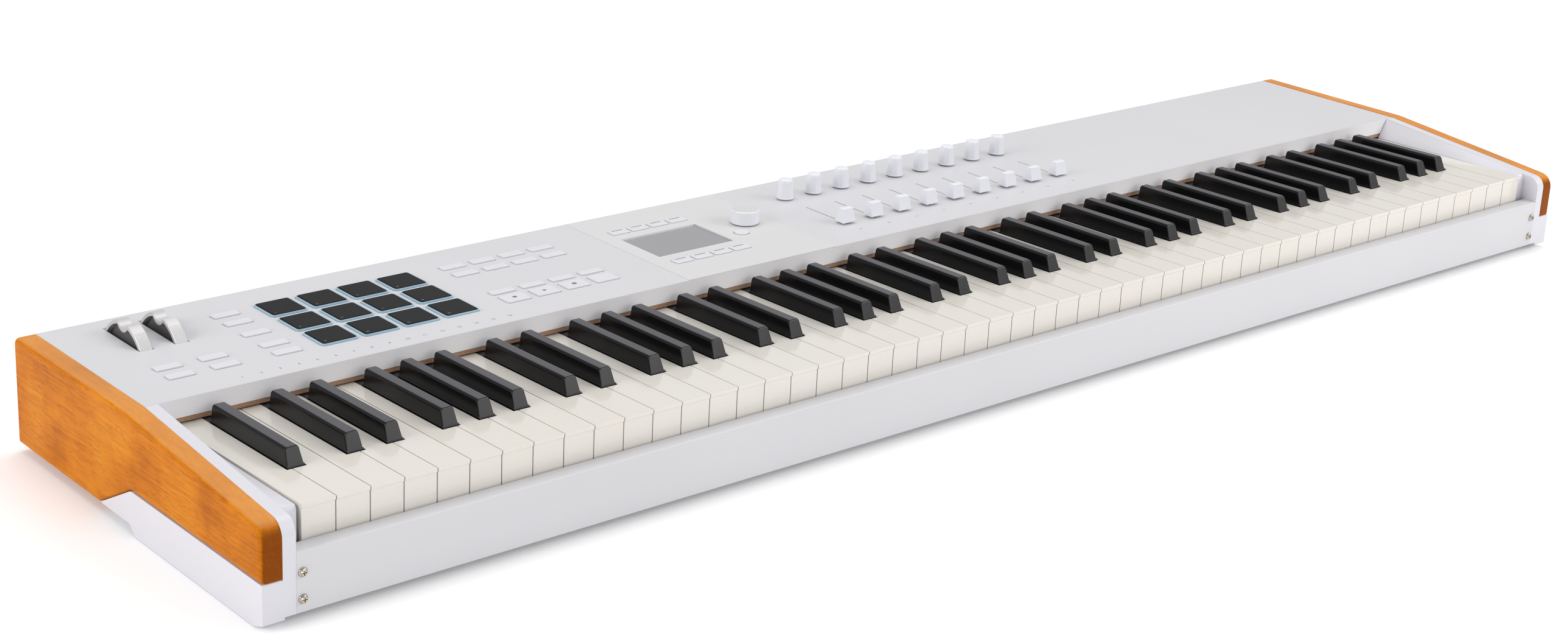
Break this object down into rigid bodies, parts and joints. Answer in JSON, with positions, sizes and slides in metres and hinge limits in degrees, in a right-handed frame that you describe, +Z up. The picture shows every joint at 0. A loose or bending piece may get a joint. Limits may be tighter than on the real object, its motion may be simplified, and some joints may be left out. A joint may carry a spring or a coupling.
{
  "type": "keyboard controller synthesizer",
  "caption": "Full-size keyboard controller synthesizer with wooden cheeks, two wheels, drum pads, buttons, a display, knobs and sliders.",
  "frame": {"origin": "on the floor under the middle of the case, at the bottom centre of the bounding box", "axes": "+X along the keys from low to high notes, -Y towards the player, +Z up"},
  "size_m": [1.29, 0.3222, 0.0979],
  "materials": {
    "pan_steel": "satin",
    "panel_white": "satin",
    "overlay_white": "satin",
    "window_glass": "clear",
    "lcd_grey": "matte",
    "cheek_wood": "satin",
    "block_white": "satin",
    "felt_brown": "matte",
    "frame_steel": "satin",
    "board_green": "matte",
    "socket_black": "matte",
    "foot_rubber": "matte",
    "screw_nickel": "polished",
    "tray_blue": "translucent",
    "pot_steel": "satin",
    "key_ivory": "gloss",
    "key_black": "satin",
    "knob_white": "satin",
    "wheel_silver": "satin",
    "pad_rubber": "matte",
    "button_white": "satin"
  },
  "bodies": {
    "case": {"bottom_pan": "pan_steel", "top_panel": "panel_white", "display_panel": "overlay_white", "display_window": "window_glass", "lcd_module": "lcd_grey", "front_rail": "panel_white", "wood_cheek_left": "cheek_wood", "wood_cheek_right": "cheek_wood", "end_block_left": "block_white", "end_block_right": "block_white", "felt_strips": "felt_brown", "key_frame": "frame_steel", "circuit_boards": "board_green", "rear_sockets": "socket_black", "rubber_feet": "foot_rubber", "screws": "screw_nickel", "pad_tray": "tray_blue", "potentiometers": "pot_steel", "wheel_bracket": "frame_steel"},
    "keys_c": {"keys_c": "key_ivory"},
    "keys_c_sharp": {"keys_c_sharp": "key_black"},
    "keys_d": {"keys_d": "key_ivory"},
    "keys_d_sharp": {"keys_d_sharp": "key_black"},
    "keys_e": {"keys_e": "key_ivory"},
    "keys_f": {"keys_f": "key_ivory"},
    "keys_f_sharp": {"keys_f_sharp": "key_black"},
    "keys_g": {"keys_g": "key_ivory"},
    "keys_g_sharp": {"keys_g_sharp": "key_black"},
    "keys_a": {"keys_a": "key_ivory"},
    "keys_a_sharp": {"keys_a_sharp": "key_black"},
    "keys_b": {"keys_b": "key_ivory"},
    "knob_1": {"knob_1": "knob_white"},
    "knob_2": {"knob_2": "knob_white"},
    "knob_3": {"knob_3": "knob_white"},
    "knob_4": {"knob_4": "knob_white"},
    "knob_5": {"knob_5": "knob_white"},
    "knob_6": {"knob_6": "knob_white"},
    "knob_7": {"knob_7": "knob_white"},
    "knob_8": {"knob_8": "knob_white"},
    "knob_9": {"knob_9": "knob_white"},
    "fader_cap_1": {"fader_cap_1": "knob_white"},
    "fader_cap_2": {"fader_cap_2": "knob_white"},
    "fader_cap_3": {"fader_cap_3": "knob_white"},
    "fader_cap_4": {"fader_cap_4": "knob_white"},
    "fader_cap_5": {"fader_cap_5": "knob_white"},
    "fader_cap_6": {"fader_cap_6": "knob_white"},
    "fader_cap_7": {"fader_cap_7": "knob_white"},
    "fader_cap_8": {"fader_cap_8": "knob_white"},
    "fader_cap_9": {"fader_cap_9": "knob_white"},
    "encoder_shaft": {"encoder_shaft": "frame_steel"},
    "encoder_cap": {"encoder_cap": "knob_white"},
    "pitch_wheel": {"pitch_wheel": "wheel_silver"},
    "mod_wheel": {"mod_wheel": "wheel_silver"},
    "pads_row_1": {"pads_row_1": "pad_rubber"},
    "pads_row_2": {"pads_row_2": "pad_rubber"},
    "pads_row_3": {"pads_row_3": "pad_rubber"},
    "left_buttons": {"left_buttons": "button_white"},
    "function_buttons": {"function_buttons": "button_white"},
    "transport_buttons": {"transport_buttons": "button_white"},
    "display_buttons": {"display_buttons": "button_white"}
  },
  "joints": [
    {"name": "keys_c_press", "type": "hinge", "parent": "case", "child": "keys_c", "pos_m": [0, 0.062, 0.05], "axis": [1, 0, 0], "range_deg": [0, 2.74], "stiffness_Nm_per_rad": 5, "springref_deg": -9.17},
    {"name": "keys_c_sharp_press", "type": "hinge", "parent": "case", "child": "keys_c_sharp", "pos_m": [0, 0.062, 0.05], "axis": [1, 0, 0], "range_deg": [0, 2.9], "stiffness_Nm_per_rad": 5, "springref_deg": -9.17},
    {"name": "keys_d_press", "type": "hinge", "parent": "case", "child": "keys_d", "pos_m": [0, 0.062, 0.05], "axis": [1, 0, 0], "range_deg": [0, 2.74], "stiffness_Nm_per_rad": 5, "springref_deg": -9.17},
    {"name": "keys_d_sharp_press", "type": "hinge", "parent": "case", "child": "keys_d_sharp", "pos_m": [0, 0.062, 0.05], "axis": [1, 0, 0], "range_deg": [0, 2.9], "stiffness_Nm_per_rad": 5, "springref_deg": -9.17},
    {"name": "keys_e_press", "type": "hinge", "parent": "case", "child": "keys_e", "pos_m": [0, 0.062, 0.05], "axis": [1, 0, 0], "range_deg": [0, 2.74], "stiffness_Nm_per_rad": 5, "springref_deg": -9.17},
    {"name": "keys_f_press", "type": "hinge", "parent": "case", "child": "keys_f", "pos_m": [0, 0.062, 0.05], "axis": [1, 0, 0], "range_deg": [0, 2.74], "stiffness_Nm_per_rad": 5, "springref_deg": -9.17},
    {"name": "keys_f_sharp_press", "type": "hinge", "parent": "case", "child": "keys_f_sharp", "pos_m": [0, 0.062, 0.05], "axis": [1, 0, 0], "range_deg": [0, 2.9], "stiffness_Nm_per_rad": 5, "springref_deg": -9.17},
    {"name": "keys_g_press", "type": "hinge", "parent": "case", "child": "keys_g", "pos_m": [0, 0.062, 0.05], "axis": [1, 0, 0], "range_deg": [0, 2.74], "stiffness_Nm_per_rad": 5, "springref_deg": -9.17},
    {"name": "keys_g_sharp_press", "type": "hinge", "parent": "case", "child": "keys_g_sharp", "pos_m": [0, 0.062, 0.05], "axis": [1, 0, 0], "range_deg": [0, 2.9], "stiffness_Nm_per_rad": 5, "springref_deg": -9.17},
    {"name": "keys_a_press", "type": "hinge", "parent": "case", "child": "keys_a", "pos_m": [0, 0.062, 0.05], "axis": [1, 0, 0], "range_deg": [0, 2.74], "stiffness_Nm_per_rad": 5, "springref_deg": -9.17},
    {"name": "keys_a_sharp_press", "type": "hinge", "parent": "case", "child": "keys_a_sharp", "pos_m": [0, 0.062, 0.05], "axis": [1, 0, 0], "range_deg": [0, 2.9], "stiffness_Nm_per_rad": 5, "springref_deg": -9.17},
    {"name": "keys_b_press", "type": "hinge", "parent": "case", "child": "keys_b", "pos_m": [0, 0.062, 0.05], "axis": [1, 0, 0], "range_deg": [0, 2.74], "stiffness_Nm_per_rad": 5, "springref_deg": -9.17},
    {"name": "knob_1_turn", "type": "hinge", "parent": "case", "child": "knob_1", "pos_m": [-0.0148, 0.1163, 0.082], "axis": [0, 0, 1], "continuous": true},
    {"name": "knob_2_turn", "type": "hinge", "parent": "case", "child": "knob_2", "pos_m": [0.01503, 0.1163, 0.082], "axis": [0, 0, 1], "continuous": true},
    {"name": "knob_3_turn", "type": "hinge", "parent": "case", "child": "knob_3", "pos_m": [0.04486, 0.1163, 0.082], "axis": [0, 0, 1], "continuous": true},
    {"name": "knob_4_turn", "type": "hinge", "parent": "case", "child": "knob_4", "pos_m": [0.07469, 0.1163, 0.082], "axis": [0, 0, 1], "continuous": true},
    {"name": "knob_5_turn", "type": "hinge", "parent": "case", "child": "knob_5", "pos_m": [0.10452, 0.1163, 0.082], "axis": [0, 0, 1], "continuous": true},
    {"name": "knob_6_turn", "type": "hinge", "parent": "case", "child": "knob_6", "pos_m": [0.13435, 0.1163, 0.082], "axis": [0, 0, 1], "continuous": true},
    {"name": "knob_7_turn", "type": "hinge", "parent": "case", "child": "knob_7", "pos_m": [0.16418, 0.1163, 0.082], "axis": [0, 0, 1], "continuous": true},
    {"name": "knob_8_turn", "type": "hinge", "parent": "case", "child": "knob_8", "pos_m": [0.19401, 0.1163, 0.082], "axis": [0, 0, 1], "continuous": true},
    {"name": "knob_9_turn", "type": "hinge", "parent": "case", "child": "knob_9", "pos_m": [0.22384, 0.1163, 0.082], "axis": [0, 0, 1], "continuous": true},
    {"name": "fader_cap_1_slide", "type": "slide", "parent": "case", "child": "fader_cap_1", "axis": [0, 1, 0], "range_m": [0, 0.044]},
    {"name": "fader_cap_2_slide", "type": "slide", "parent": "case", "child": "fader_cap_2", "axis": [0, 1, 0], "range_m": [0, 0.044]},
    {"name": "fader_cap_3_slide", "type": "slide", "parent": "case", "child": "fader_cap_3", "axis": [0, 1, 0], "range_m": [0, 0.044]},
    {"name": "fader_cap_4_slide", "type": "slide", "parent": "case", "child": "fader_cap_4", "axis": [0, 1, 0], "range_m": [0, 0.044]},
    {"name": "fader_cap_5_slide", "type": "slide", "parent": "case", "child": "fader_cap_5", "axis": [0, 1, 0], "range_m": [0, 0.044]},
    {"name": "fader_cap_6_slide", "type": "slide", "parent": "case", "child": "fader_cap_6", "axis": [0, 1, 0], "range_m": [0, 0.044]},
    {"name": "fader_cap_7_slide", "type": "slide", "parent": "case", "child": "fader_cap_7", "axis": [0, 1, 0], "range_m": [0, 0.044]},
    {"name": "fader_cap_8_slide", "type": "slide", "parent": "case", "child": "fader_cap_8", "axis": [0, 1, 0], "range_m": [0, 0.044]},
    {"name": "fader_cap_9_slide", "type": "slide", "parent": "case", "child": "fader_cap_9", "axis": [0, 1, 0], "range_m": [0, 0.044]},
    {"name": "encoder_press", "type": "slide", "parent": "case", "child": "encoder_shaft", "axis": [0, 0, -1], "range_m": [0, 0.0004], "stiffness_N_per_m": 2000, "springref_m": -0.0006},
    {"name": "encoder_turn", "type": "hinge", "parent": "encoder_shaft", "child": "encoder_cap", "pos_m": [-0.0823, 0.086, 0.085], "axis": [0, 0, 1], "continuous": true},
    {"name": "pitch_wheel_turn", "type": "hinge", "parent": "case", "child": "pitch_wheel", "pos_m": [-0.5849, 0.1154, 0.0642], "axis": [1, 0, 0], "range_deg": [-32, 32], "stiffness_Nm_per_rad": 0.05},
    {"name": "mod_wheel_turn", "type": "hinge", "parent": "case", "child": "mod_wheel", "pos_m": [-0.5594, 0.1154, 0.0642], "axis": [1, 0, 0], "range_deg": [-32, 32]},
    {"name": "pads_row_1_press", "type": "slide", "parent": "case", "child": "pads_row_1", "axis": [0, 0, -1], "range_m": [0, 0.0006], "stiffness_N_per_m": 3000, "springref_m": -0.0004},
    {"name": "pads_row_2_press", "type": "slide", "parent": "case", "child": "pads_row_2", "axis": [0, 0, -1], "range_m": [0, 0.0006], "stiffness_N_per_m": 3000, "springref_m": -0.0004},
    {"name": "pads_row_3_press", "type": "slide", "parent": "case", "child": "pads_row_3", "axis": [0, 0, -1], "range_m": [0, 0.0006], "stiffness_N_per_m": 3000, "springref_m": -0.0004},
    {"name": "left_buttons_press", "type": "slide", "parent": "case", "child": "left_buttons", "axis": [0, 0, -1], "range_m": [0, 0.0008], "stiffness_N_per_m": 1500, "springref_m": -0.0006},
    {"name": "function_buttons_press", "type": "slide", "parent": "case", "child": "function_buttons", "axis": [0, 0, -1], "range_m": [0, 0.0008], "stiffness_N_per_m": 1500, "springref_m": -0.0006},
    {"name": "transport_buttons_press", "type": "slide", "parent": "case", "child": "transport_buttons", "axis": [0, 0, -1], "range_m": [0, 0.0008], "stiffness_N_per_m": 1500, "springref_m": -0.0006},
    {"name": "display_buttons_press", "type": "slide", "parent": "case", "child": "display_buttons", "axis": [0, 0, -1], "range_m": [0, 0.0006], "stiffness_N_per_m": 1500, "springref_m": -0.0006}
  ]
}
